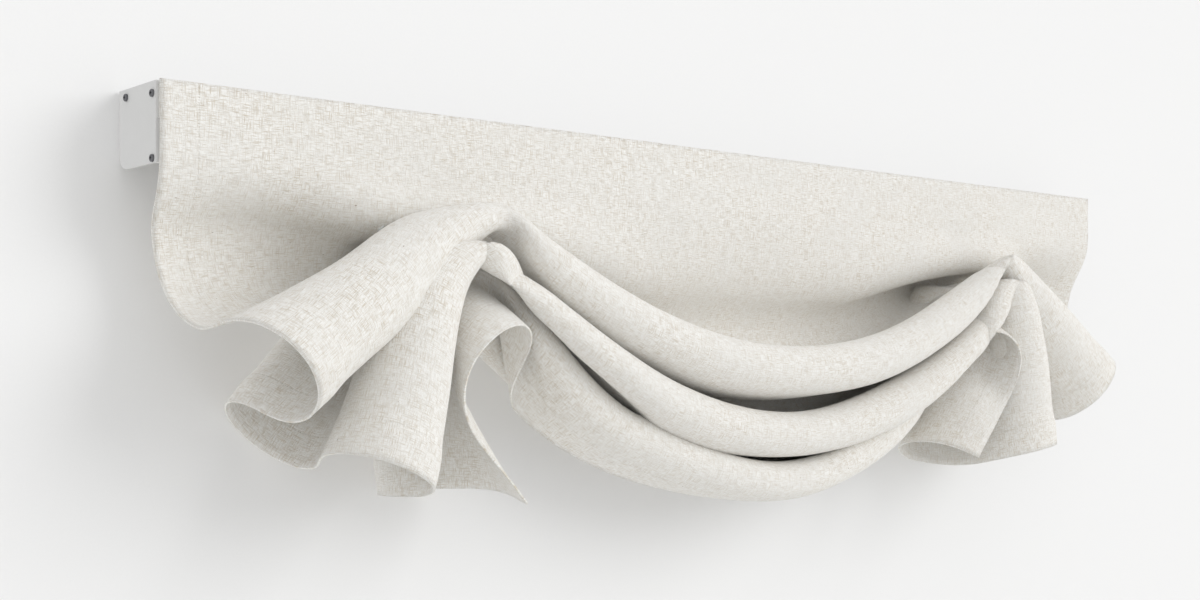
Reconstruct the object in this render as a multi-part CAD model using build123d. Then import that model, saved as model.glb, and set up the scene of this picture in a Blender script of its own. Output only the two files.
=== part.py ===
from build123d import *
import os
from math import acos, cos, degrees, radians, sin, sqrt

os.makedirs("parts", exist_ok=True)

# Cordless relaxed Roman blind, held raised by a spring lift. Millimetres.
# +X runs along the headrail, +Y into the wall and +Z up.
# The origin is on the wall face, midway between the wall holes of the centre bracket.

# ---- Driving sizes: headrail and end plates ----
blind_width = 1219.0        # headrail and fabric, end to end
headrail_depth = 64.0       # front to back
headrail_height = 60.0
rail_wall = 2.0             # extrusion wall
plate_thickness = 2.0
plate_corner_radius = 12.0  # lower back corner of each end plate
port_radius = 3.4           # outside of a screw port
port_slot = 1.0             # width of the port's open side
front_port_inset = 5.3      # port axis behind the front face
back_port_inset = 51.0
top_port_drop = 9.0         # port axis below the top face
back_port_drop = 6.4
bottom_port_rise = 3.4      # port axis above the bottom edge

# ---- Driving sizes: fasteners ----
screw_shank_radius = 1.5
screw_head_radius = 2.9
screw_head_height = 1.8
end_screw_length = 16.0
recess_width = 0.9          # one arm of the cross recess
recess_span = 3.2
recess_depth = 0.9
unit_screw_grip = 9.0       # screw inside a bearing or the motor's hanger

# ---- Driving sizes: wall brackets ----
bracket_thickness = 2.0
bracket_width = 40.0
bracket_flange = 36.0       # front-to-back length of the flange under the headrail's top
bracket_drop = 22.0         # wall leg below the wall holes
bracket_bend_radius = 3.0
bracket_inset = 70.0        # outer brackets from the headrail's ends
wall_hole_spacing = 22.0
wall_hole_radius = 2.6
wall_slot_length = 9.0
rail_screw_spacing = 22.0
rail_screw_setback = 27.0   # from the wall

# ---- Driving sizes: lift shaft, spools and cradles ----
shaft_radius = 3.0
shaft_setback = 48.0        # axis in front of the wall
shaft_height = -2.0         # axis above the wall holes
shaft_end_gap = 2.0         # shaft end to the inside of the end plate
ring_inset = 193.0          # ring columns in from the fabric's sides
drum_radius = 12.5
drum_length = 28.0
flange_radius = 15.0
flange_thickness = 1.5
hub_radius = 6.0
hub_overhang = 5.0          # hub outside the cradle on the set screw's side
set_screw_radius = 1.2
cradle_wall = 3.0
cradle_back = 28.0          # back edge in front of the wall
cradle_floor = -22.5        # underside
cradle_top = 16.5           # top of the end walls beside the ports
hanger_front = 56.0         # cradle's hanger tab, in front of the wall
hanger_back = 36.0
bearing_length = 10.0
bearing_half_width = 8.0
bearing_drop = 9.0          # bearing block below the shaft's axis
eyelet_radius = 1.5
cord_notch_width = 10.0     # lower port cut away where a cord comes down

# ---- Driving sizes: spring motor ----
motor_start = 120.0         # along X
motor_length = 44.0
motor_wall = 2.0
motor_front = 63.5          # in front of the wall
motor_back = 8.0
motor_floor = -20.0
motor_roof = 16.5
motor_post_radius = 3.0
motor_post_inset = 4.4
motor_screw_radius = 1.25
motor_screw_head_radius = 2.4
motor_hanger_length = 24.0
motor_hanger_front = 50.0
motor_hanger_back = 30.0
motor_drum_radius = 9.0
motor_flange_radius = 12.3
storage_setback = 22.0
storage_core_radius = 5.0
storage_flange_radius = 11.5
storage_pin_radius = 2.5
spring_coil_radius = 9.8    # spring wound on the storage drum
spring_thickness = 0.3

# ---- Driving sizes: tapes, fabric, rings and cords ----
tape_height = 25.0
tape_thickness = 1.2
tape_drop = 3.0             # tape's upper edge below the headrail's top
fabric_thickness = 1.0
fabric_rise = 1.0           # fabric's upper edge above the headrail's top
panel_height = 111.0        # flat panel before the folds begin
ring_radius = 5.0           # to the middle of the ring's section
ring_section_radius = 1.0
ring_count = 6
first_ring_drop = 95.0      # below the fabric's upper edge
ring_stack_pitch = 8.0      # drop from ring to ring, gathered in the raised blind
ring_lean = 52.0            # degrees the gathered rings lean in under the swag's pull
cord_radius = 0.6
knot_radius = 1.5
cord_stop_radius = 5.0
cord_stop_height = 12.0
cord_bend_radius = 9.0      # round the first ring
winding_length = 20.0

# ---- Clearances ----
screw_clearance = 0.08      # shank in its hole, radial
plate_hole_clearance = 0.3
running_clearance = 0.08    # shafts and hubs in their bearings, radial
slide_clearance = 0.05      # bores that are fixed on the shaft, radial
notch_clearance = 1.0
ring_clearance = 0.3        # ring to the back of the fabric
cord_clearance = 0.15
stop_clearance = 0.6        # cord stop below the last ring
motor_end_clearance = 1.0   # drums inside the motor housing

# ---- Places worked out from the sizes ----
half_width = blind_width / 2
rail_back = -bracket_thickness
rail_front = rail_back - headrail_depth
rail_top = headrail_height / 2
rail_bottom = -headrail_height / 2
rail_ceiling = rail_top - rail_wall
rail_inner_front = rail_front + rail_wall
front_port_y = rail_front + front_port_inset
back_port_y = rail_front + back_port_inset
screw_ports = [
    (back_port_y, rail_top - back_port_drop),
    (front_port_y, rail_top - top_port_drop),
    (front_port_y, rail_bottom + bottom_port_rise),
]
bracket_places = {
    "left": -half_width + bracket_inset,
    "centre": 0.0,
    "right": half_width - bracket_inset,
}
shaft_y = -shaft_setback
shaft_z = shaft_height
column_x = half_width - ring_inset
shaft_end = half_width - shaft_end_gap
bearing_x = half_width - shaft_end_gap - bearing_length / 2
cradle_inner = drum_length / 2 + flange_thickness + 0.5
cradle_outer = cradle_inner + cradle_wall
hanger_y = -(hanger_front + hanger_back) / 2
tape_back = rail_front
fabric_back = rail_front - 2 * tape_thickness
fabric_front = fabric_back - fabric_thickness
fabric_top = rail_top + fabric_rise
cord_y = shaft_y - drum_radius - cord_radius
ring_y = fabric_back + ring_clearance + ring_radius + ring_section_radius
first_ring_z = fabric_top - first_ring_drop
ring_step = ring_stack_pitch / cos(radians(ring_lean))
stop_start = (ring_count - 1) * ring_step + ring_section_radius + stop_clearance
stop_end = stop_start + cord_stop_height
motor_end = motor_start + motor_length
storage_y = -storage_setback

# Lower edge, upper edge and depth of the gathered folds, from the left side to the right:
# (place along X, folds' top below the fabric's top, folds' bottom below it, folds' depth)
arch_offset = 80.0
tail_offset = 95.0
side_inset = 8.0
fold_stations = [
    (-half_width + side_inset, 78.0, 150.0, 22.0),
    (-column_x - tail_offset, 88.0, 240.0, 48.0),
    (-column_x, 92.0, 243.0, 55.0),
    (-column_x + arch_offset, 96.0, 215.0, 62.0),
    (-column_x / 2, 108.0, 300.0, 78.0),
    (0.0, 110.0, 340.0, 84.0),
    (column_x / 2, 108.0, 300.0, 78.0),
    (column_x - arch_offset, 98.0, 240.0, 62.0),
    (column_x, 92.0, 279.0, 55.0),
    (column_x + tail_offset, 88.0, 258.0, 48.0),
    (half_width - side_inset, 78.0, 205.0, 22.0),
]
fold_shoulder = 0.35        # share of a fold's height that slopes back above and below


# ---- Building blocks ----
def block(x0, x1, y0, y1, z0, z1):
    """A box between two corners."""
    centre = Pos((x0 + x1) / 2, (y0 + y1) / 2, (z0 + z1) / 2)
    return centre * Box(abs(x1 - x0), abs(y1 - y0), abs(z1 - z0))


def area(y0, y1, z0, z1):
    """A rectangle in the Y-Z outline plane."""
    return Pos((y0 + y1) / 2, (z0 + z1) / 2) * Rectangle(abs(y1 - y0), abs(z1 - z0))


def along_x(outline, start, end):
    """Extrude a Y-Z outline along X."""
    return extrude(Plane.YZ.offset(start) * outline, amount=end - start)


def rod_x(start, end, y, z, radius):
    """A cylinder along X."""
    return along_x(Pos(y, z) * Circle(radius), start, end)


def rod_z(x, y, low, high, radius):
    """A cylinder along Z."""
    return Pos(x, y, (low + high) / 2) * Cylinder(radius, high - low)


def pan_screw(shank_radius, head_radius, shank_length):
    """A pan-head screw: the head sits on Z = 0 and the shank runs down from it."""
    head = Pos(0, 0, screw_head_height / 2) * Cylinder(head_radius, screw_head_height)
    head = fillet(head.edges().group_by(Axis.Z)[-1], screw_head_height * 0.45)
    shank = rod_z(0, 0, -shank_length, 0, shank_radius)
    shank = chamfer(shank.edges().group_by(Axis.Z)[0], shank_radius * 0.4)
    recess_z = screw_head_height - recess_depth / 2
    arm_one = Pos(0, 0, recess_z) * Box(recess_span, recess_width, recess_depth)
    arm_two = Pos(0, 0, recess_z) * Box(recess_width, recess_span, recess_depth)
    return head + shank - arm_one - arm_two


def save(node, shape):
    """Write one sub-part."""
    shape.label = node
    export_step(shape, f"parts/{node}.step")


def save_group(node, solids):
    """Write several separate solids as one sub-part."""
    save(node, Compound(children=solids))


# ---- Headrail ----
def port_openings():
    """The bores and open sides of the three screw ports."""
    bore = screw_shank_radius + screw_clearance
    cuts = Sketch()
    for y, z in screw_ports:
        cuts += Pos(y, z) * Circle(bore)
    back_y, back_z = screw_ports[0]
    cuts += area(back_y - port_slot / 2, back_y + port_slot / 2, back_z - port_radius - 1, back_z)
    for y, z in screw_ports[1:]:
        cuts += area(y, y + port_radius + 1, z - port_slot / 2, z + port_slot / 2)
    return cuts


def unit_screw_places():
    """Where screws come down through the headrail's top, and how far into what hangs there."""
    motor_y = -(motor_hanger_front + motor_hanger_back) / 2
    tab_grip = cradle_wall - 0.5
    places = [(-column_x, hanger_y, tab_grip), (column_x, hanger_y, tab_grip)]
    places += [(-bearing_x, shaft_y, unit_screw_grip), (bearing_x, shaft_y, unit_screw_grip)]
    places += [(motor_start + motor_length / 2, motor_y, unit_screw_grip)]
    return places


def bracket_screw_places():
    """The screws that hold the headrail's top down on each bracket."""
    places = []
    for x in bracket_places.values():
        for side in (-1, 1):
            places.append((x + side * rail_screw_spacing / 2, -rail_screw_setback))
    return places


def make_headrail():
    """Aluminium extrusion: a top wall, a front wall and three screw ports."""
    outline = area(rail_front, rail_back, rail_ceiling, rail_top)
    outline += area(rail_front, rail_inner_front, rail_bottom, rail_top)
    for y, z in screw_ports:
        outline += Pos(y, z) * Circle(port_radius)
    back_y, back_z = screw_ports[0]
    outline += area(back_y - rail_wall / 2, back_y + rail_wall / 2, back_z + port_radius / 2, rail_top)
    outline -= port_openings()
    rail = along_x(outline, -half_width, half_width)
    notch_half = bracket_width / 2 + notch_clearance
    for x in bracket_places.values():
        rail -= block(x - notch_half, x + notch_half, back_y - port_radius - notch_clearance,
                      back_y + port_radius + notch_clearance,
                      back_z - port_radius - notch_clearance, rail_ceiling)
    for x in (-column_x, column_x):
        rail -= block(x - cord_notch_width / 2, x + cord_notch_width / 2, rail_inner_front,
                      front_port_y + port_radius + notch_clearance, rail_bottom - 1,
                      rail_bottom + 2 * port_radius + notch_clearance)
    hole = screw_shank_radius + screw_clearance
    for x, y in [place[:2] for place in unit_screw_places()] + bracket_screw_places():
        rail -= rod_z(x, y, rail_ceiling - 1, rail_top + 1, hole)
    return rail


def make_end_plate(side):
    """Flat cover over one end of the headrail, square but for its lower back corner."""
    outline = area(rail_front, rail_back, rail_bottom, rail_top)
    corner = outline.vertices().sort_by_distance((rail_back, rail_bottom))[0]
    outline = fillet(corner, plate_corner_radius)
    for y, z in screw_ports:
        outline -= Pos(y, z) * Circle(screw_shank_radius + plate_hole_clearance)
    inner = side * half_width
    outer = side * (half_width + plate_thickness)
    return along_x(outline, min(inner, outer), max(inner, outer))


def make_end_screws(side):
    """Three screws through one end plate into the headrail's ports."""
    face = side * (half_width + plate_thickness)
    screws = []
    for y, z in screw_ports:
        screw = pan_screw(screw_shank_radius, screw_head_radius, end_screw_length)
        screws.append(Pos(face, y, z) * Rot(0, side * 90, 0) * screw)
    return screws


# ---- Wall brackets ----
def make_bracket(x):
    """Steel angle: a slotted leg on the wall and a flange under the headrail's top wall."""
    outline = area(-bracket_thickness, 0, -bracket_drop, rail_ceiling)
    outline += area(-bracket_flange, 0, rail_ceiling - bracket_thickness, rail_ceiling)
    bend = outline.vertices().sort_by_distance((0, rail_ceiling))[0]
    outline = fillet(bend, bracket_bend_radius)
    inside = (-bracket_thickness, rail_ceiling - bracket_thickness)
    bend = outline.vertices().sort_by_distance(inside)[0]
    outline = fillet(bend, bracket_bend_radius - bracket_thickness)
    bracket = along_x(outline, x - bracket_width / 2, x + bracket_width / 2)
    upright = bracket.edges().filter_by(Axis.Y).group_by(Axis.Z)[0]
    bracket = fillet(upright, bracket_bend_radius)
    for side in (-1, 1):
        slot = SlotOverall(wall_slot_length, 2 * wall_hole_radius)
        centre = Pos(x + side * wall_hole_spacing / 2, 0, 0)
        bracket -= centre * extrude(Plane.XZ * slot, amount=bracket_thickness + 1, both=True)
        bracket -= rod_z(x + side * rail_screw_spacing / 2, -rail_screw_setback,
                         rail_ceiling - bracket_thickness - 1, rail_ceiling + 1,
                         screw_shank_radius + plate_hole_clearance)
    return bracket


def make_bracket_screws():
    """Screws up through the bracket flanges into the headrail's top wall."""
    seat = rail_ceiling - bracket_thickness
    length = rail_top - seat - screw_clearance
    screws = []
    for x, y in bracket_screw_places():
        screw = pan_screw(screw_shank_radius, screw_head_radius, length)
        screws.append(Pos(x, y, seat) * Rot(180, 0, 0) * screw)
    return screws


# ---- Lift shaft, spools and cradles ----
def hanger_hole(x, y, depth):
    """The blind hole in a hanger for its screw."""
    return rod_z(x, y, rail_ceiling - depth, rail_ceiling + 1, screw_shank_radius + screw_clearance)


def make_bearing(side):
    """Nylon block that hangs under the headrail's top wall and holds one shaft end."""
    outline = area(shaft_y - bearing_half_width, shaft_y + bearing_half_width,
                   shaft_z, rail_ceiling)
    outline += Pos(shaft_y, shaft_z) * Circle(bearing_half_width)
    outline += area(shaft_y - bearing_half_width, shaft_y + bearing_half_width,
                    shaft_z - bearing_drop, shaft_z)
    outline -= Pos(shaft_y, shaft_z) * Circle(shaft_radius + running_clearance)
    x = side * bearing_x
    bearing = along_x(outline, x - bearing_length / 2, x + bearing_length / 2)
    return bearing - hanger_hole(x, shaft_y, unit_screw_grip + 1)


def make_unit_screws():
    """Screws down through the headrail's top into the cradles, bearings and motor."""
    screws = []
    for x, y, grip in unit_screw_places():
        screw = pan_screw(screw_shank_radius, screw_head_radius, rail_wall + grip)
        screws.append(Pos(x, y, rail_top) * screw)
    return screws


def make_spool(x):
    """Flanged drum with a hub at each end, locked on the shaft by a set screw."""
    drum = rod_x(x - drum_length / 2, x + drum_length / 2, shaft_y, shaft_z, drum_radius)
    for side in (-1, 1):
        inner = x + side * drum_length / 2
        outer = inner + side * flange_thickness
        drum += rod_x(min(inner, outer), max(inner, outer), shaft_y, shaft_z, flange_radius)
    hub_start = x - cradle_outer - 1
    hub_end = x + cradle_outer + hub_overhang
    drum += rod_x(hub_start, hub_end, shaft_y, shaft_z, hub_radius)
    drum -= rod_x(hub_start - 1, hub_end + 1, shaft_y, shaft_z, shaft_radius + slide_clearance)
    screw_x = x + cradle_outer + hub_overhang / 2
    drum -= rod_z(screw_x, shaft_y, shaft_z, shaft_z + hub_radius + 1,
                  set_screw_radius + slide_clearance)
    return drum


def make_set_screw(x):
    """Grub screw in the spool's hub, its point just off the shaft."""
    screw_x = x + cradle_outer + hub_overhang / 2
    low = shaft_z + shaft_radius + slide_clearance
    high = shaft_z + hub_radius - slide_clearance
    screw = rod_z(screw_x, shaft_y, low, high, set_screw_radius)
    socket = Pos(screw_x, shaft_y, high) * extrude(RegularPolygon(0.6, 6), amount=1, both=True)
    return screw - socket


def make_cradle(x):
    """Nylon cradle: two bearing walls, a floor with the cord's eyelet and a hanger tab."""
    wall = area(rail_inner_front, -cradle_back, cradle_floor, cradle_top)
    wall += area(-hanger_front, -hanger_back, cradle_top, rail_ceiling)
    wall -= Pos(shaft_y, shaft_z) * Circle(hub_radius + running_clearance)
    cradle = along_x(wall, x - cradle_outer, x - cradle_inner)
    cradle += along_x(wall, x + cradle_inner, x + cradle_outer)
    cradle += block(x - cradle_outer, x + cradle_outer, rail_inner_front, -cradle_back,
                    cradle_floor, cradle_floor + cradle_wall)
    cradle += block(x - cradle_outer, x + cradle_outer, -hanger_front, -hanger_back,
                    rail_ceiling - cradle_wall, rail_ceiling)
    cradle -= rod_z(x, cord_y, cradle_floor - 1, cradle_floor + cradle_wall + 1, eyelet_radius)
    return cradle - hanger_hole(x, hanger_y, cradle_wall + 1)


def make_winding(x):
    """The turns of lift cord wound on one spool, as one sleeve."""
    sleeve = Pos(shaft_y, shaft_z) * Circle(drum_radius + 2 * cord_radius)
    sleeve -= Pos(shaft_y, shaft_z) * Circle(drum_radius + slide_clearance)
    return along_x(sleeve, x - winding_length / 2, x + winding_length / 2)


def leaning(side, distance):
    """The place and tilt at a distance from the first ring along one leaning ring stack."""
    x = side * (column_x - distance * sin(radians(ring_lean)))
    return Pos(x, cord_y, first_ring_z - distance * cos(radians(ring_lean))) * Rot(0, side * ring_lean, 0)


def make_lift_cord(side):
    """The cord from its spool down through the leaning rings to a knot under the cord stop."""
    outer = drum_radius + 2 * cord_radius
    leave = sqrt(outer ** 2 - drum_radius ** 2) + slide_clearance
    x = side * column_x
    start = (x, cord_y, shaft_z - leave)
    bend = (x, cord_y, first_ring_z)
    knot = leaning(side, stop_end + knot_radius)
    route = FilletPolyline(start, bend, knot.position, radius=cord_bend_radius)
    cord = sweep(Plane(origin=start, z_dir=(0, 0, -1)) * Circle(cord_radius), path=route)
    return cord + knot * Sphere(knot_radius)


# ---- Spring motor ----
def motor_posts():
    """Centres of the four screw posts inside the motor housing."""
    front = -motor_front + motor_post_inset
    back = -motor_back - motor_post_inset
    low = motor_floor + motor_post_inset
    high = motor_roof - motor_post_inset
    return [(front, low), (front, high), (back, low), (back, high)]


def make_motor_housing():
    """Open nylon box around the two drums, with the storage drum's pin and a hanger."""
    outer = area(-motor_front, -motor_back, motor_floor, motor_roof)
    inner = area(-motor_front + motor_wall, -motor_back - motor_wall,
                 motor_floor + motor_wall, motor_roof - motor_wall)
    cover_face = motor_end - motor_wall
    housing = along_x(outer, motor_start, motor_start + motor_wall)
    housing += along_x(outer - inner, motor_start, cover_face)
    for y, z in motor_posts():
        housing += rod_x(motor_start, cover_face, y, z, motor_post_radius)
    housing += rod_x(motor_start, cover_face, storage_y, shaft_z, storage_pin_radius)
    middle = motor_start + motor_length / 2
    housing += block(middle - motor_hanger_length / 2, middle + motor_hanger_length / 2,
                     -motor_hanger_front, -motor_hanger_back, motor_roof, rail_ceiling)
    housing -= rod_x(motor_start - 1, motor_start + motor_wall + 1, shaft_y, shaft_z,
                     shaft_radius + running_clearance)
    for y, z in motor_posts():
        housing -= rod_x(cover_face - 11, cover_face + 1, y, z, motor_screw_radius + slide_clearance)
    tab_y = -(motor_hanger_front + motor_hanger_back) / 2
    return housing - hanger_hole(middle, tab_y, unit_screw_grip + 1)


def make_motor_cover():
    """Plate that closes the motor housing and carries the shaft's second bearing."""
    outline = area(-motor_front, -motor_back, motor_floor, motor_roof)
    outline -= Pos(shaft_y, shaft_z) * Circle(shaft_radius + running_clearance)
    for y, z in motor_posts():
        outline -= Pos(y, z) * Circle(motor_screw_radius + plate_hole_clearance)
    return along_x(outline, motor_end - motor_wall, motor_end)


def make_motor_screws():
    """Four screws through the motor cover into the housing's posts."""
    screws = []
    for y, z in motor_posts():
        screw = pan_screw(motor_screw_radius, motor_screw_head_radius, 10)
        screws.append(Pos(motor_end, y, z) * Rot(0, 90, 0) * screw)
    return screws


def make_motor_drum(y, core_radius, edge_radius, bore_radius):
    """A flanged spring drum on a bore."""
    start = motor_start + motor_wall + motor_end_clearance
    end = motor_end - motor_wall - motor_end_clearance
    drum = rod_x(start, end, y, shaft_z, core_radius)
    drum += rod_x(start, start + flange_thickness, y, shaft_z, edge_radius)
    drum += rod_x(end - flange_thickness, end, y, shaft_z, edge_radius)
    return drum - rod_x(start - 1, end + 1, y, shaft_z, bore_radius)


def make_power_spring():
    """Flat steel spring: its coil, one turn on the output drum and the strip between."""
    half_strip = spring_thickness / 2
    coil = Pos(storage_y, shaft_z) * Circle(spring_coil_radius)
    coil -= Pos(storage_y, shaft_z) * Circle(storage_core_radius + slide_clearance)
    turn_inner = motor_drum_radius + slide_clearance
    turn = Pos(shaft_y, shaft_z) * Circle(turn_inner + spring_thickness)
    turn -= Pos(shaft_y, shaft_z) * Circle(turn_inner)
    coil_tangent = spring_coil_radius - half_strip
    turn_tangent = turn_inner + half_strip
    lean = acos((coil_tangent + turn_tangent) / abs(shaft_y - storage_y))
    coil_point = (storage_y - coil_tangent * cos(lean), shaft_z + coil_tangent * sin(lean))
    turn_point = (shaft_y + turn_tangent * cos(lean), shaft_z - turn_tangent * sin(lean))
    run = (turn_point[0] - coil_point[0], turn_point[1] - coil_point[1])
    middle = ((coil_point[0] + turn_point[0]) / 2, (coil_point[1] + turn_point[1]) / 2)
    strip = Rectangle(sqrt(run[0] ** 2 + run[1] ** 2), spring_thickness)
    slope = 90 - degrees(lean)
    outline = coil + turn + Pos(*middle) * Rot(0, 0, slope) * strip
    start = motor_start + motor_wall + motor_end_clearance + flange_thickness + slide_clearance
    end = motor_end - motor_wall - motor_end_clearance - flange_thickness - slide_clearance
    return along_x(outline, start, end)


# ---- Tapes, fabric, rings and cord stops ----
def make_tape(back):
    """One half of the hook-and-loop fastening along the headrail's front."""
    top = rail_top - tape_drop
    return block(-half_width, half_width, back - tape_thickness, back, top - tape_height, top)


def fold_section(x, top_drop, bottom_drop, depth):
    """Outline of the gathered folds at one place along the blind."""
    top = fabric_top - top_drop
    bottom = fabric_top - bottom_drop
    slope = fold_shoulder * (top - bottom)
    front = fabric_front - depth
    corners = [(fabric_back, top), (front, top - slope), (front, bottom + slope), (fabric_back, bottom)]
    return Plane.YZ.offset(x) * make_face(Polyline(*corners, close=True))


def make_fabric():
    """The whole shade as one soft solid: flat panel above and gathered folds below."""
    panel = block(-half_width, half_width, fabric_front, fabric_back,
                  fabric_top - panel_height, fabric_top)
    folds = loft([fold_section(*station) for station in fold_stations], ruled=True)
    return panel + folds


def make_rings(side):
    """The lift rings of one column, gathered along the leaning cord."""
    rings = []
    for index in range(ring_count):
        ring = Pos(0, ring_y - cord_y, 0) * Torus(ring_radius, ring_section_radius)
        rings.append(leaning(side, index * ring_step) * ring)
    return rings


def make_cord_stop(side):
    """Rounded barrel that carries the lowest ring and ends the cord."""
    stop = rod_z(0, 0, -stop_end, -stop_start, cord_stop_radius)
    stop = fillet(stop.edges().filter_by(GeomType.CIRCLE), cord_stop_radius * 0.5)
    stop -= rod_z(0, 0, -stop_end - 1, -stop_start + 1, cord_radius + cord_clearance)
    return leaning(side, 0) * stop


# ---- Write every sub-part ----
sides = {"left": -1, "right": 1}

save("headrail", make_headrail())
for name, side in sides.items():
    column = side * column_x
    save(f"{name}_end_plate", make_end_plate(side))
    save_group(f"{name}_end_screws", make_end_screws(side))
    save(f"{name}_shaft_bearing", make_bearing(side))
    save(f"{name}_spool_cradle", make_cradle(column))
    save(f"{name}_cord_spool", make_spool(column))
    save(f"{name}_set_screw", make_set_screw(column))
    save(f"{name}_cord_winding", make_winding(column))
    save(f"{name}_lift_cord", make_lift_cord(side))
    save_group(f"{name}_lift_rings", make_rings(side))
    save(f"{name}_cord_stop", make_cord_stop(side))
for name, x in bracket_places.items():
    save(f"{name}_wall_bracket", make_bracket(x))
save_group("bracket_screws", make_bracket_screws())
save_group("unit_screws", make_unit_screws())
save("lift_shaft", rod_x(-shaft_end, shaft_end, shaft_y, shaft_z, shaft_radius))
save("motor_housing", make_motor_housing())
save("motor_cover", make_motor_cover())
save_group("motor_screws", make_motor_screws())
save("output_drum", make_motor_drum(shaft_y, motor_drum_radius, motor_flange_radius,
                                    shaft_radius + slide_clearance))
save("storage_drum", make_motor_drum(storage_y, storage_core_radius, storage_flange_radius,
                                     storage_pin_radius + running_clearance))
save("power_spring", make_power_spring())
save("hook_tape", make_tape(tape_back))
save("loop_tape", make_tape(tape_back - tape_thickness))
save("shade_fabric", make_fabric())
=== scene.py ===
from math import cos, pi, radians, sin

import bpy
import numpy as np
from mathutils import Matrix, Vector


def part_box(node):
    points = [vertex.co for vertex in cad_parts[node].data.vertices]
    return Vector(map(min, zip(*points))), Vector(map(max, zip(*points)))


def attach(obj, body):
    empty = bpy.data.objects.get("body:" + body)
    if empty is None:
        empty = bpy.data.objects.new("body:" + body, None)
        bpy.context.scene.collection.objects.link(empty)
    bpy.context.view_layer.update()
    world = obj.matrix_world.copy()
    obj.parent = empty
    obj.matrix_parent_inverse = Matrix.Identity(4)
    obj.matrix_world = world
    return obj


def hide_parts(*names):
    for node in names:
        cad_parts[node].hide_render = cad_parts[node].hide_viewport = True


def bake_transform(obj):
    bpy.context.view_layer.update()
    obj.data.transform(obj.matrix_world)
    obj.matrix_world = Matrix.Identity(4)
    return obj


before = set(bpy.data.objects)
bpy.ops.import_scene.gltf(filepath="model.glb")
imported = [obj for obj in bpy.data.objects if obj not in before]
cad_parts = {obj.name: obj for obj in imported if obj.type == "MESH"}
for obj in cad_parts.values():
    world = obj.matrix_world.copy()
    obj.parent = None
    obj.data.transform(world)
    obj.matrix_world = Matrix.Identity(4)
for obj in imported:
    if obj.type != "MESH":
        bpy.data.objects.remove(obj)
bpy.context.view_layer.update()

# Everything is in metres, in the frame of the CAD: X along the blind, -Y towards the room, Z up.
# The wall's face is the plane Y = 0.

# ---- Sizes taken from the frame ----
fabric_low, fabric_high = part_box("shade_fabric")
rail_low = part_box("headrail")[0]
cord_low, cord_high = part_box("right_lift_cord")

blind_width = fabric_high.x - fabric_low.x
fabric_top = fabric_high.z
fabric_thickness = 0.001
tape_thickness = 0.0024
cloth_y = rail_low.y - tape_thickness - fabric_thickness / 2
cord_radius = 0.0006
knot_radius = 0.0015
column_x = cord_high.x - cord_radius
cord_y = (cord_low.y + cord_high.y) / 2

# ---- The shade as it was cut and sewn ----
cut_length = 0.98
first_ring = 0.095
ring_pitch = 0.16
ring_count = 6
hem_width = 0.032
hem_thickness = 0.0018
stitch_inset = hem_width - 0.002

# ---- How it hangs when it is raised ----
ring_stack = 0.008
ring_lean = 0.0104
ring_angle = radians(52)
ring_step = ring_stack / cos(ring_angle)
ring_clear = 0.006
taped_height = 0.062
tape_foot = fabric_top - taped_height
fold_ceiling = tape_foot - 0.004
# the taped strip, the zone for the panel and the cord between the tape and the first ring to lengthen in;
# only its lower end is read here, as where the linen's flat panel ends
shade_blend = (tape_foot + 0.026, tape_foot)
stitch_reach = 0.0013
stitch_width = 0.0016
stitch_turns = 3
stitch_steps = 24
thread_radius = 0.0002
fold_bulge = 0.045
tail_bulge = -0.05
unevenness = 0.004
even_height = 0.08

# ---- Cloth solver ----
cell_count = 101
time_step = 1 / 500
lift_time = 1.3
settle_time = 1.2
ease_time = 0.3
lift_gravity = 8.83
rest_gravity = 2.943
air_damping = 1.5
shear_stiffness = 0.25
contact_distance = 0.008
contact_friction = 0.08
crowding = 0.7
search_every = 8
search_margin = 1.35
top_speed = 3.0
stretch_limit = 1.003
# the cloth takes less room where it is bunched this near to a ring
bunched_reach = 0.03
bunched_room = 0.35
wall_gap = 0.006
rail_gap = 0.003
rail_back = -0.03
front_reach = fabric_low.y + 0.0084
front_ease = 0.02
stiff_edge = 0.035
tail_start = column_x - 0.03
tail_rise = 0.08
short_span = 0.038
long_span = 0.076
# stiffness against folding in the middle, in the tails and along the hems
short_bending = (0.06, 0.5, 1.0)
long_bending = (0.0, 0.15, 0.6)
bottom_hem_share = 0.1
tail_blend = 0.06


def smooth(share):
    """0 to 1 with an easy start and end."""
    share = np.clip(share, 0, 1)
    return share * share * (3 - 2 * share)


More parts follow.
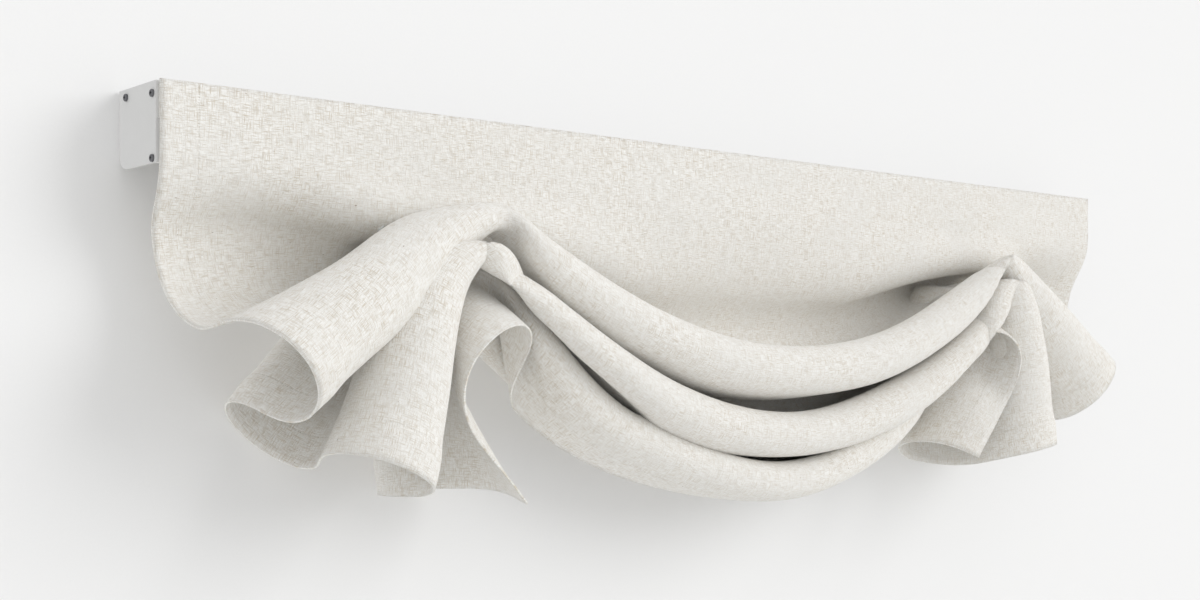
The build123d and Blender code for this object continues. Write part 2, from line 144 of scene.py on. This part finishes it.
# ---- Cloth: a grid of points held by distances ----
class Cloth:
    """The shade as a grid of points, raised by its rings and moved by position-based dynamics."""

    def __init__(self):
        cell = blind_width / cell_count
        self.columns = cell_count + 1
        self.rows = int(round(cut_length / cell)) + 1
        self.steps = (cell, cut_length / (self.rows - 1))
        self.across = np.repeat(np.linspace(-blind_width / 2, blind_width / 2, self.columns), self.rows)
        self.down = np.tile(np.arange(self.rows) * self.steps[1], self.columns)
        self.points = self.start_shape()
        self.start = self.points.copy()
        self.taped = self.down <= taped_height
        self.folded = self.down > first_ring - ring_clear
        self.place_rings()
        self.free = np.ones(len(self.points))
        self.free[self.taped] = 0
        self.free[self.rings] = 0
        self.make_links()
        self.make_limits()

    def start_shape(self):
        """A hanging panel bowed between its rings: forwards in the middle, backwards in the tails."""
        span = np.clip((self.down - first_ring) / ring_pitch, 0, ring_count - 1)
        ringed = (self.down > first_ring) & (self.down < first_ring + (ring_count - 1) * ring_pitch)
        tail = np.clip((np.abs(self.across) - column_x) / tail_blend, 0, 1)
        bulge = fold_bulge + (tail_bulge - fold_bulge) * tail
        points = np.zeros((len(self.down), 3))
        points[:, 0] = self.across
        points[:, 1] = cloth_y - bulge * np.sin(pi * (span % 1)) * ringed
        points[:, 1] -= unevenness * np.random.RandomState(1).rand(len(points)) * (self.down > even_height)
        points[:, 2] = fabric_top - self.down
        return points

    def place_rings(self):
        """The points sewn to rings, and where the cords bring them when the shade is raised."""
        cell, row = self.steps
        column = int(round((blind_width / 2 - column_x) / cell))
        columns = [column, self.columns - 1 - column]
        self.ring_rows = [int(round((first_ring + k * ring_pitch) / row)) for k in range(ring_count)]
        self.ring_columns = columns
        self.rings = np.array([c * self.rows + r for c in columns for r in self.ring_rows])
        self.ring_start = self.start[self.rings].copy()
        self.ring_start[:, 1] = cloth_y
        ends = []
        for side in (-1, 1):
            for k in range(ring_count):
                x = side * (column_x - k * ring_lean)
                ends.append((x, cloth_y, fabric_top - first_ring - k * ring_stack))
        self.ring_end = np.array(ends)

    def add_links(self, step_x, step_z, stiffness, push_only=False):
        """Links from each point to the one some columns and rows on, in two groups that share no point."""
        column, row = np.meshgrid(np.arange(self.columns), np.arange(self.rows), indexing="ij")
        far_column = column + step_x
        far_row = row + step_z
        inside = (far_column >= 0) & (far_column < self.columns) & (far_row < self.rows)
        a = (column * self.rows + row)[inside]
        b = (far_column * self.rows + far_row)[inside]
        group = row[inside] // step_z % 2 if step_z else column[inside] // step_x % 2
        rest = np.hypot(step_x * self.steps[0], step_z * self.steps[1])
        for parity in (0, 1):
            held = self.free[a] + self.free[b]
            chosen = (group == parity) & (held > 0)
            first, second, held = a[chosen], b[chosen], held[chosen]
            k = stiffness(first, second) if callable(stiffness) else stiffness
            shares = ((self.free[first] / held * k)[:, None], (self.free[second] / held * k)[:, None])
            self.links.append((first, second, rest, shares, push_only))

    def bending(self, values):
        """Stiffness against folding: low in the middle, more in the tails and most along the hems."""
        middle, tail, hem = values

        def stiffness(first, second):
            away = np.abs(self.across[first])
            share = smooth((away - tail_start) / tail_rise)
            k = middle + (tail - middle) * share
            upright = self.down[first] != self.down[second]
            side = (away > blind_width / 2 - stiff_edge) & upright
            k[side] = hem
            level = self.across[first] != self.across[second]
            bottom = (self.down[first] > cut_length - stiff_edge) & level
            k[bottom] = np.maximum(k[bottom], hem * bottom_hem_share)
            return k

        return stiffness

    def make_links(self):
        """Threads, shear and two spans of bending."""
        self.links = []
        self.add_links(1, 0, 1.0)
        self.add_links(0, 1, 1.0)
        self.add_links(1, 1, shear_stiffness)
        self.add_links(-1, 1, shear_stiffness)
        for span, values in ((short_span, short_bending), (long_span, long_bending)):
            cells = int(round(span / self.steps[0]))
            self.add_links(cells, 0, self.bending(values), push_only=True)
            self.add_links(0, cells, self.bending(values), push_only=True)

    def make_limits(self):
        """How far a free point may be from its nearest rings and from the tape, by the cloth between."""
        self.loose = np.nonzero(self.free > 0)[0]
        ring_down = np.array(self.ring_rows) * self.steps[1]
        upper = np.clip(np.searchsorted(ring_down, self.down) - 1, 0, ring_count - 1)
        self.limits = []
        for column in self.ring_columns:
            for nearest in (upper, np.clip(upper + 1, 0, ring_count - 1)):
                anchor = column * self.rows + np.array(self.ring_rows)[nearest]
                flat = np.hypot(self.across - self.across[column * self.rows], self.down - ring_down[nearest])
                self.limits.append((anchor[self.loose], flat[self.loose]))
        last_taped = np.nonzero(self.taped[:self.rows])[0][-1]
        anchor = np.arange(len(self.down)) // self.rows * self.rows + last_taped
        flat = np.maximum(self.down - last_taped * self.steps[1], 1e-6)
        self.limits.append((anchor[self.loose], flat[self.loose]))

    def hold_limits(self):
        for anchor, flat in self.limits:
            away = self.points[self.loose] - self.points[anchor]
            length = np.sqrt((away * away).sum(1))
            far = length > flat * stretch_limit
            pull = 1 - flat[far] * stretch_limit / length[far]
            self.points[self.loose[far]] -= away[far] * pull[:, None]

    def hold_links(self):
        for first, second, rest, shares, push_only in self.links:
            away = self.points[first] - self.points[second]
            length = np.sqrt((away * away).sum(1))
            error = length - rest
            if push_only:
                error = np.minimum(error, 0)
            away *= (error / np.maximum(length, 1e-9))[:, None]
            self.points[first] -= away * shares[0]
            self.points[second] += away * shares[1]

    def find_contacts(self, reach):
        """Pairs of points nearer than reach, apart from neighbours in the grid, found by sorted cells."""
        cell = np.floor((self.points - self.points.min(0) + reach) / reach).astype(np.int64) + 1
        size = cell.max(0) + 2
        key = (cell[:, 0] * size[1] + cell[:, 1]) * size[2] + cell[:, 2]
        order = np.argsort(key, kind="stable")
        key = key[order]
        firsts, seconds = [], []
        steps = [(x, y, z) for x in (-1, 0, 1) for y in (-1, 0, 1) for z in (-1, 0, 1)]
        for x, y, z in steps:
            offset = (x * size[1] + y) * size[2] + z
            if offset < 0:
                continue
            left = np.searchsorted(key, key + offset, "left")
            right = np.searchsorted(key, key + offset, "right")
            if offset == 0:
                left = np.maximum(left, np.arange(len(key)) + 1)
            count = np.maximum(right - left, 0)
            before = np.concatenate([[0], np.cumsum(count)[:-1]])
            firsts.append(order[np.repeat(np.arange(len(key)), count)])
            seconds.append(order[np.repeat(left - before, count) + np.arange(count.sum())])
        a = np.concatenate(firsts)
        b = np.concatenate(seconds)
        columns_apart = np.abs(a // self.rows - b // self.rows)
        rows_apart = np.abs(a % self.rows - b % self.rows)
        away = self.points[a] - self.points[b]
        near = ((away * away).sum(1) < reach * reach) & ((columns_apart > 1) | (rows_apart > 1))
        return a[near], b[near]

    def part_contacts(self, contacts, before):
        """Pushes layers of cloth apart and slows them where they touch."""
        a, b = contacts
        away = self.points[a] - self.points[b]
        length = np.sqrt((away * away).sum(1))
        wanted = contact_distance * np.minimum(self.room[a], self.room[b])
        close = length < wanted
        a, b, away, length, wanted = a[close], b[close], away[close], length[close], wanted[close]
        held = np.maximum(self.free[a] + self.free[b], 1e-9)
        push = away * ((wanted - length) / np.maximum(length, 1e-6) / held)[:, None]
        total = len(self.points)
        count = np.bincount(a, minlength=total) + np.bincount(b, minlength=total)
        for axis in range(3):
            move = np.bincount(a, push[:, axis] * self.free[a], minlength=total)
            move -= np.bincount(b, push[:, axis] * self.free[b], minlength=total)
            self.points[:, axis] += move / np.maximum(count, 1) ** crowding
        touching = (count > 0) & (self.free > 0)
        self.points[touching] -= (self.points[touching] - before[touching]) * contact_friction

    def keep_clear(self):
        """In front of the rail, off the wall and below the tape, and patted back if it stands out too far."""
        beside_rail = self.points[:, 2] > rail_low.z - rail_gap
        behind = beside_rail & (self.points[:, 1] > cloth_y) & (self.points[:, 1] < rail_back)
        self.points[behind, 1] = cloth_y
        self.points[:, 1] = np.minimum(self.points[:, 1], -wall_gap)
        high = self.folded & (self.points[:, 2] > fold_ceiling)
        self.points[high, 2] = fold_ceiling
        ahead = (self.points[:, 1] < front_reach) & (self.free > 0)
        self.points[ahead, 1] += (front_reach - self.points[ahead, 1]) * front_ease

    def contact_room(self):
        """Share of the contact distance at each point: small beside the rings, where the cloth is bunched."""
        column = np.arange(len(self.down)) // self.rows
        row = np.arange(len(self.down)) % self.rows
        room = np.ones(len(self.down))
        for ring in self.rings:
            near_x = np.abs(column - ring // self.rows) * self.steps[0] < bunched_reach
            near_z = np.abs(row - ring % self.rows) * self.steps[1] < bunched_reach
            room[near_x & near_z] = bunched_room
        return room

    def raise_and_settle(self):
        """Raises the rings, lets the cloth settle and leaves its points where it came to rest."""
        self.room = self.contact_room()
        speed = np.zeros_like(self.points)
        moving = self.free[:, None]
        for step in range(int((lift_time + settle_time) / time_step)):
            before = self.points
            seconds = step * time_step
            settled = min(1, max(0, (seconds - lift_time) / ease_time))
            pull = lift_gravity + (rest_gravity - lift_gravity) * settled
            speed = speed + np.array([0, 0, -pull * time_step]) * moving
            speed *= np.exp(-air_damping * time_step)
            self.points = self.points + speed * time_step * moving
            raised = smooth(seconds / lift_time)
            self.points[self.rings] = self.ring_start + (self.ring_end - self.ring_start) * raised
            self.hold_limits()
            self.hold_links()
            if step % search_every == 0:
                contacts = self.find_contacts(contact_distance * search_margin)
            self.part_contacts(contacts, before)
            self.keep_clear()
            speed = (self.points - before) / time_step
            size = np.sqrt((speed * speed).sum(1))
            fast = size > top_speed
            speed[fast] *= (top_speed / size[fast])[:, None]


# ---- Meshes ----
def new_object(name, mesh):
    thing = bpy.data.objects.new(name, mesh)
    bpy.context.scene.collection.objects.link(thing)
    return thing


def baked(thing):
    """Turns an object's modifiers into its mesh."""
    depsgraph = bpy.context.evaluated_depsgraph_get()
    mesh = bpy.data.meshes.new_from_object(thing.evaluated_get(depsgraph))
    thing.modifiers.clear()
    thing.data = mesh
    mesh.polygons.foreach_set("use_smooth", [True] * len(mesh.polygons))
    return thing


def make_shade():
    """The linen shade: simulated, smoothed and given its cloth's thickness, with thicker hems."""
    cloth = Cloth()
    cloth.raise_and_settle()
    index = np.arange(len(cloth.points)).reshape(cloth.columns, cloth.rows)
    faces = np.stack([index[:-1, :-1], index[:-1, 1:], index[1:, 1:], index[1:, :-1]], -1).reshape(-1, 4)
    mesh = bpy.data.meshes.new("linen_shade")
    mesh.from_pydata(cloth.points.tolist(), [], faces.tolist())
    flat = np.stack([cloth.across, fabric_top - cloth.down], -1)
    layer = mesh.uv_layers.new(name="flat")
    layer.data.foreach_set("uv", flat[faces.ravel()].astype(np.float32).ravel())
    shade = new_object("linen_shade", mesh)
    hems = shade.vertex_groups.new(name="hems")
    side = np.abs(cloth.across) > blind_width / 2 - hem_width
    bottom = cloth.down > cut_length - hem_width
    hems.add(np.nonzero(side | bottom)[0].tolist(), 1.0, "REPLACE")
    rounding = shade.modifiers.new("rounding", "SUBSURF")
    rounding.levels = 1
    rounding.boundary_smooth = "PRESERVE_CORNERS"
    body = shade.modifiers.new("body", "SOLIDIFY")
    body.thickness = hem_thickness
    body.offset = 0
    body.vertex_group = "hems"
    body.thickness_vertex_group = fabric_thickness / hem_thickness
    return baked(shade)


# ---- Materials ----
class Finish:
    """A material and short ways to add nodes to it."""

    def __init__(self, name, roughness, metallic=0.0, specular=0.5):
        self.material = bpy.data.materials.new(name)
        self.material.use_nodes = True
        self.tree = self.material.node_tree
        self.shader = self.tree.nodes["Principled BSDF"]
        self.shader.inputs["Roughness"].default_value = roughness
        self.shader.inputs["Metallic"].default_value = metallic
        self.shader.inputs["Specular IOR Level"].default_value = specular

    def add(self, kind, **settings):
        node = self.tree.nodes.new(kind)
        for name, value in settings.items():
            setattr(node, name, value)
        return node

    def plug(self, source, target):
        """Links a socket, or sets a plain value."""
        if isinstance(source, bpy.types.NodeSocket):
            self.tree.links.new(source, target)
        else:
            target.default_value = source

    def position(self):
        return self.add("ShaderNodeTexCoord").outputs["Object"]

    def math(self, operation, a, b=0.0, c=0.0):
        node = self.add("ShaderNodeMath", operation=operation)
        for socket, value in zip(node.inputs, (a, b, c)):
            self.plug(value, socket)
        return node.outputs[0]

    def scaled(self, vector, scale):
        node = self.add("ShaderNodeVectorMath", operation="MULTIPLY")
        self.plug(vector, node.inputs[0])
        self.plug(scale, node.inputs[1])
        return node.outputs[0]

    def noise(self, vector, scale=1.0, detail=2.0, roughness=0.5):
        node = self.add("ShaderNodeTexNoise")
        self.plug(vector, node.inputs["Vector"])
        self.plug(scale, node.inputs["Scale"])
        self.plug(detail, node.inputs["Detail"])
        self.plug(roughness, node.inputs["Roughness"])
        return node.outputs["Fac"]

    def between(self, value, low, high, to_low=0.0, to_high=1.0):
        """Maps low...high to to_low...to_high with an easy start and end."""
        node = self.add("ShaderNodeMapRange", interpolation_type="SMOOTHSTEP")
        for socket, number in zip(node.inputs, (value, low, high, to_low, to_high)):
            self.plug(number, socket)
        return node.outputs["Result"]

    def mixed(self, share, first, second):
        """A colour between two others."""
        node = self.add("ShaderNodeMix", data_type="RGBA")
        self.plug(share, node.inputs["Factor"])
        for name, value in (("A", first), ("B", second)):
            socket = next(s for s in node.inputs if s.name == name and s.type == "RGBA")
            self.plug((*value, 1.0) if isinstance(value, tuple) else value, socket)
        return next(s for s in node.outputs if s.type == "RGBA")

    def colour(self, socket):
        self.plug(socket, self.shader.inputs["Base Color"])

    def rough(self, socket):
        self.plug(socket, self.shader.inputs["Roughness"])

    def bump(self, height, distance, strength=1.0):
        node = self.add("ShaderNodeBump")
        node.inputs["Distance"].default_value = distance
        node.inputs["Strength"].default_value = strength
        self.plug(height, node.inputs["Height"])
        self.plug(node.outputs["Normal"], self.shader.inputs["Normal"])


def cloth_position(finish, panel_end):
    """Place on the flat cloth: by position on the flat panel, which may lengthen, and by the cut below it."""
    flat = finish.add("ShaderNodeUVMap", uv_map="flat").outputs["UV"]
    parts = finish.add("ShaderNodeSeparateXYZ")
    finish.plug(finish.position(), parts.inputs[0])
    on_panel = finish.add("ShaderNodeCombineXYZ")
    finish.plug(parts.outputs["X"], on_panel.inputs["X"])
    finish.plug(parts.outputs["Z"], on_panel.inputs["Y"])
    height = finish.add("ShaderNodeSeparateXYZ")
    finish.plug(flat, height.inputs[0])
    below = finish.math("LESS_THAN", height.outputs["Y"], panel_end)
    chosen = finish.add("ShaderNodeMix", data_type="VECTOR")
    finish.plug(below, chosen.inputs["Factor"])
    first, second = [s for s in chosen.inputs if s.type == "VECTOR" and s.name in "AB"]
    finish.plug(on_panel.outputs[0], first)
    finish.plug(flat, second)
    return next(s for s in chosen.outputs if s.type == "VECTOR"), flat


def make_linen(panel_end):
    """Natural off-white linen: uneven threads both ways, beige slubs, painted shade in the gaps between
    threads, rare dark flecks and sewn hems.
    """
    linen = Finish("natural_linen", 0.92, specular=0.25)
    linen.shader.inputs["Sheen Weight"].default_value = 0.25
    linen.shader.inputs["Sheen Roughness"].default_value = 0.6
    place, flat = cloth_position(linen, panel_end)
    weft_slub = linen.noise(linen.scaled(place, (110.0, 1500.0, 1.0)), detail=3.0, roughness=0.6)
    warp_slub = linen.noise(linen.scaled(place, (1350.0, 90.0, 1.0)), detail=3.0, roughness=0.6)
    weft_tint = linen.between(weft_slub, 0.46, 0.70)
    warp_tint = linen.between(warp_slub, 0.47, 0.72)
    weft = linen.noise(linen.scaled(place, (220.0, 1100.0, 1.0)), detail=1.0)
    warp = linen.noise(linen.scaled(place, (1000.0, 200.0, 1.0)), detail=1.0)
    threads = linen.math("ADD", weft, warp)
    # painted shade: where the threads are low, in the gaps between them, the colour moves towards the darker
    # beige by up to 0.55
    gap_shade = linen.between(threads, 0.98, 0.72, 0.0, 0.55)
    slub_tint_and_gap_shade = linen.math("MAXIMUM", linen.math("MAXIMUM", weft_tint, warp_tint), gap_shade)
    patch = linen.noise(place, 14.0, detail=3.0)
    slub_tint_and_gap_shade = linen.math("MULTIPLY", slub_tint_and_gap_shade, linen.between(patch, 0.3, 0.7, 0.6, 1.0))
    ground = linen.mixed(linen.between(patch, 0.3, 0.7), (0.845, 0.838, 0.81), (0.885, 0.88, 0.855))
    # the real slubs and the painted shade in the thread gaps both take the beige slub colour
    colour = linen.mixed(slub_tint_and_gap_shade, ground, (0.62, 0.55, 0.445))
    fleck = linen.noise(linen.scaled(place, (260.0, 700.0, 1.0)), detail=1.0)
    colour = linen.mixed(linen.between(fleck, 0.75, 0.81, 0.0, 0.75), colour, (0.28, 0.20, 0.13))
    slubs = linen.math("ADD", weft_tint, warp_tint)
    height = linen.math("MULTIPLY_ADD", slubs, 0.5, threads)
    stitch = hem_stitch(linen, flat)
    height = linen.math("MULTIPLY_ADD", stitch, -0.8, height)
    linen.colour(linen.mixed(linen.math("MULTIPLY", stitch, 0.07), colour, (0.55, 0.48, 0.39)))
    linen.rough(linen.between(threads, 0.7, 1.3, 0.96, 0.84))
    linen.bump(height, 0.0005, 0.75)
    return linen.material


def hem_stitch(linen, flat):
    """1 along the line of stitches inside the side and bottom hems."""
    parts = linen.add("ShaderNodeSeparateXYZ")
    linen.plug(flat, parts.inputs[0])
    away = linen.math("ABSOLUTE", parts.outputs["X"])
    side = linen.math("SUBTRACT", blind_width / 2 - stitch_inset, away)
    bottom = linen.math("SUBTRACT", parts.outputs["Y"], fabric_top - cut_length + stitch_inset)
    lines = []
    for distance, along in ((side, parts.outputs["Y"]), (bottom, parts.outputs["X"])):
        line = linen.between(linen.math("ABSOLUTE", distance), 0.0012, 0.0004)
        dash = linen.between(linen.math("SINE", linen.math("MULTIPLY", along, 1400.0)), -0.9, -0.3)
        lines.append(linen.math("MULTIPLY", line, dash))
    return linen.math("MAXIMUM", *lines)


def make_paint(name, tone, darker, grain):
    """Painted metal with a faint grain in its gloss."""
    paint = Finish(name, 0.45)
    cloud = paint.noise(paint.position(), 60.0)
    paint.colour(paint.mixed(cloud, tone, darker))
    fine = paint.noise(paint.position(), grain, detail=3.0)
    paint.rough(paint.between(fine, 0.3, 0.7, 0.38, 0.55))
    paint.bump(fine, 0.0001, 0.35)
    return paint.material


def make_metal(name, tone, darker, roughness, stretch):
    """Bare or plated metal with drawn or rolled marks along one direction."""
    metal = Finish(name, roughness, metallic=1.0)
    marks = metal.noise(metal.scaled(metal.position(), stretch), detail=3.0)
    metal.colour(metal.mixed(marks, tone, darker))
    metal.rough(metal.between(marks, 0.3, 0.7, roughness - 0.08, roughness + 0.12))
    metal.bump(marks, 0.00005, 0.4)
    return metal.material


def make_plastic(name, tone, darker):
    """Moulded plastic with a fine spark-eroded surface."""
    plastic = Finish(name, 0.5)
    plastic.shader.inputs["Subsurface Weight"].default_value = 0.05
    cloud = plastic.noise(plastic.position(), 90.0)
    plastic.colour(plastic.mixed(cloud, tone, darker))
    fine = plastic.noise(plastic.position(), 2400.0, detail=2.0)
    plastic.rough(plastic.between(fine, 0.3, 0.7, 0.42, 0.6))
    plastic.bump(fine, 0.00008, 0.4)
    return plastic.material


def make_tape_finish():
    """Hook-and-loop tape: a dense pile of tiny loops, with painted shade between them."""
    tape = Finish("hook_and_loop", 0.95, specular=0.2)
    pile = tape.add("ShaderNodeTexVoronoi")
    pile.inputs["Scale"].default_value = 900.0
    tape.plug(tape.position(), pile.inputs["Vector"])
    near = pile.outputs["Distance"]
    # painted shade: the pile is coloured darker away from each loop's centre, between the loops
    tape.colour(tape.mixed(near, (0.80, 0.79, 0.76), (0.58, 0.57, 0.54)))
    tape.rough(tape.between(near, 0.1, 0.6, 0.98, 0.85))
    tape.bump(near, 0.0006)
    return tape.material


def make_cord_finish():
    """Braided white lift cord: strands crossing as two families of slanting ridges, with painted shade in the
    grooves between them.
    """
    cord = Finish("braided_cord", 0.7, specular=0.3)
    parts = cord.add("ShaderNodeSeparateXYZ")
    cord.plug(cord.position(), parts.inputs[0])
    along = cord.math("MULTIPLY", parts.outputs["Z"], 2600.0)
    round_it = cord.math("MULTIPLY", parts.outputs["X"], 2600.0)
    first = cord.math("SINE", cord.math("ADD", along, round_it))
    second = cord.math("SINE", cord.math("SUBTRACT", along, round_it))
    braid = cord.math("MAXIMUM", first, second)
    # painted shade: the grooves between strands are coloured darker than the ridges
    cord.colour(cord.mixed(cord.between(braid, 0.0, 1.0), (0.62, 0.60, 0.56), (0.86, 0.85, 0.82)))
    cord.rough(cord.between(braid, 0.0, 1.0, 0.8, 0.62))
    cord.bump(braid, 0.0002)
    return cord.material


def make_finishes(linen):
    """One finish for each material slot of the record."""
    every_way = (900.0, 900.0, 900.0)
    along_x = (60.0, 700.0, 700.0)
    drawn = (20.0, 1500.0, 1500.0)
    rolled = (1500.0, 90.0, 90.0)
    return {
        "linen": linen,
        "tape": make_tape_finish(),
        "cord": make_cord_finish(),
        "rail_paint": make_paint("rail_paint", (0.80, 0.80, 0.79), (0.76, 0.76, 0.75), 900.0),
        "plate_paint": make_paint("plate_paint", (0.68, 0.68, 0.675), (0.64, 0.64, 0.635), 1100.0),
        "screw_steel": make_metal("screw_steel", (0.20, 0.20, 0.21), (0.13, 0.13, 0.14), 0.38, every_way),
        "bracket_steel": make_metal("bracket_steel", (0.66, 0.67, 0.68), (0.52, 0.53, 0.55), 0.36, along_x),
        "shaft_steel": make_metal("shaft_steel", (0.60, 0.60, 0.61), (0.46, 0.46, 0.47), 0.28, drawn),
        "spring_steel": make_metal("spring_steel", (0.36, 0.38, 0.42), (0.24, 0.26, 0.31), 0.25, rolled),
        "nylon": make_plastic("nylon", (0.78, 0.78, 0.76), (0.72, 0.72, 0.70)),
        "ring_plastic": make_plastic("ring_plastic", (0.82, 0.82, 0.80), (0.74, 0.74, 0.72)),
    }


def finish_cad_nodes(finishes):
    """Every CAD node gets the finish of its material slot in the record."""
    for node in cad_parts.values():
        for place in node.material_slots:
            place.material = finishes[place.material.name]


# ---- Small pieces behind the cloth ----
def add_spline(curve, points, closed=False):
    """A smooth NURBS line through the pull of these points."""
    spline = curve.splines.new("NURBS")
    spline.points.add(len(points) - 1)
    for place, point in zip(spline.points, points):
        place.co = (*point, 1.0)
    spline.order_u = 3
    spline.use_endpoint_u = not closed
    spline.use_cyclic_u = closed


def make_thread(name, radius, lines):
    """Tubes of one radius along several lines, as one mesh. Each line is (points, closed)."""
    curve = bpy.data.curves.new(name, "CURVE")
    curve.dimensions = "3D"
    curve.bevel_depth = radius
    curve.bevel_resolution = 3
    curve.resolution_u = 8
    for points, closed in lines:
        add_spline(curve, points, closed)
    drawn = new_object(name + "_line", curve)
    depsgraph = bpy.context.evaluated_depsgraph_get()
    mesh = bpy.data.meshes.new_from_object(drawn.evaluated_get(depsgraph))
    bpy.data.objects.remove(drawn)
    mesh.materials.clear()
    return new_object(name, mesh)


def knot_points(centre):
    """A small overhand knot, as a trefoil."""
    points = []
    steps = 24
    for k in range(steps):
        t = 2 * pi * k / steps
        turn = Vector((sin(t) + 2 * sin(2 * t), cos(t) - 2 * cos(2 * t), -sin(3 * t)))
        points.append(centre + turn * (knot_radius - cord_radius) / 3)
    return points


def column_line(side):
    """The cord's corners on one side: at its spool, at the first ring and at its knot."""
    start = Vector((side * column_x, cord_y, cord_high.z))
    ring = Vector((side * column_x, cord_y, fabric_top - first_ring))
    knot = Vector((side * (cord_low.x + knot_radius), cord_y, cord_low.z + knot_radius))
    return start, ring, knot


def make_lift_cord(side, name):
    """From the spool through the first ring to the knot, bending a little at the ring."""
    start, ring, knot = column_line(side)
    above = ring + Vector((0, 0, ring_clear))
    below = ring + (knot - ring).normalized() * ring_clear
    route = [start, above, ring, below, knot]
    return make_thread(name, cord_radius, [(route, False), (knot_points(knot), True)])


def make_ring_stitches(side, name):
    """Three turns of sewing thread round each ring where it touches the cloth."""
    ring, knot = column_line(side)[1:]
    along = (knot - ring).normalized()
    across = Vector((along.z, 0, -along.x))
    front = Vector((0, -1, 0))
    lines = []
    for k in range(ring_count):
        centre = ring + along * (k * ring_step)
        centre.y = cloth_y + fabric_thickness / 2 + stitch_reach
        points = []
        for step in range(stitch_steps + 1):
            t = 2 * pi * stitch_turns * step / stitch_steps
            offset = (along * cos(t) + front * sin(t)) * stitch_reach
            sideways = across * ((step / stitch_steps - 0.5) * stitch_width)
            points.append(centre + offset + sideways)
        lines.append((points, False))
    return make_thread(name, thread_radius, lines)


# ---- Stage, lights and camera ----
def make_plane(name, corners, material):
    mesh = bpy.data.meshes.new(name)
    mesh.from_pydata(corners, [], [(0, 1, 2, 3)])
    mesh.materials.append(material)
    plane = new_object(name, mesh)
    return plane


def lets_light_through(plane):
    """The camera sees the plane and its shadows, but it neither blocks nor bounces light."""
    plane.visible_diffuse = False
    plane.visible_glossy = False
    plane.visible_shadow = False


def make_wall_finish():
    """Matt white wall paint, seen from the room only."""
    wall = Finish("white_wall", 0.9, specular=0.1)
    stipple = wall.noise(wall.position(), 500.0, detail=2.0)
    wall.colour(wall.mixed(stipple, (0.82, 0.82, 0.82), (0.84, 0.84, 0.84)))
    wall.bump(stipple, 0.0001, 0.2)
    clear = wall.add("ShaderNodeBsdfTransparent")
    sides = wall.add("ShaderNodeMixShader")
    wall.plug(wall.add("ShaderNodeNewGeometry").outputs["Backfacing"], sides.inputs[0])
    wall.plug(wall.shader.outputs[0], sides.inputs[1])
    wall.plug(clear.outputs[0], sides.inputs[2])
    wall.plug(sides.outputs[0], wall.tree.nodes["Material Output"].inputs["Surface"])
    return wall.material


def make_stage():
    """A pale wall behind the blind and a pale floor well below it."""
    reach = 40.0
    floor_z = -1.6
    left_foot, right_foot = (-reach, 0, floor_z), (reach, 0, floor_z)
    wall = [left_foot, right_foot, (reach, 0, reach), (-reach, 0, reach)]
    lets_light_through(make_plane("studio_wall", wall, make_wall_finish()))
    ground = Finish("pale_floor", 0.7, specular=0.2)
    cloud = ground.noise(ground.position(), 3.0, detail=3.0)
    ground.colour(ground.mixed(cloud, (0.86, 0.86, 0.85), (0.90, 0.90, 0.89)))
    front = [(-reach, -reach, floor_z), (reach, -reach, floor_z)]
    back = [(reach, reach, floor_z), (-reach, reach, floor_z)]
    make_plane("studio_floor", front + back, ground.material)


def add_sun(name, direction, power):
    """A broad soft light from one direction, the same all along the wall."""
    light = bpy.data.lights.new(name, "SUN")
    light.angle = radians(40)
    light.energy = power
    lamp = new_object(name, light)
    lamp.rotation_euler = Vector(direction).to_track_quat("Z", "Y").to_euler()


def make_lights():
    """A broad soft key from the upper right and bright surroundings."""
    add_sun("key", (2.15, -2.1, 1.2), 1.1)
    world = bpy.data.worlds.new("studio")
    bpy.context.scene.world = world
    world.use_nodes = True
    background = world.node_tree.nodes["Background"]
    background.inputs["Color"].default_value = (1.0, 1.0, 1.0, 1.0)
    background.inputs["Strength"].default_value = 0.87


def make_camera():
    """In front of the left end, at the photograph's angle, with its verticals upright."""
    camera = bpy.data.cameras.new("camera")
    camera.sensor_width = 36
    camera.lens = 46.26
    camera.shift_y = 0.0587
    camera.dof.use_dof = False
    seat = new_object("camera", camera)
    corner = Vector((-blind_width / 2, cloth_y - fabric_thickness / 2, fabric_top))
    seat.location = corner + Vector((-0.487, -1.061, -0.213))
    seat.rotation_euler = (pi / 2, 0, radians(-40.57))
    bpy.context.scene.camera = seat


# ---- Put together ----
def blend_on_z(thing):
    """Bakes the thing's placement into its mesh; nothing here ties it to the headrail above a zone or to the
    shade below it.
    """
    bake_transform(thing)


bpy.context.scene.view_settings.view_transform = "Standard"
make_stage()
make_lights()
make_camera()

shade = make_shade()
finishes = make_finishes(make_linen(shade_blend[1]))
finish_cad_nodes(finishes)
shade.data.materials.append(finishes["linen"])
blend_on_z(shade)
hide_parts("shade_fabric")

for name, side in {"left": -1, "right": 1}.items():
    cord = make_lift_cord(side, name + "_cord")
    cord.data.materials.append(finishes["cord"])
    blend_on_z(cord)
    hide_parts(name + "_lift_cord")
    stitches = make_ring_stitches(side, name + "_ring_stitches")
    stitches.data.materials.append(finishes["cord"])
    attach(stitches, "shade")
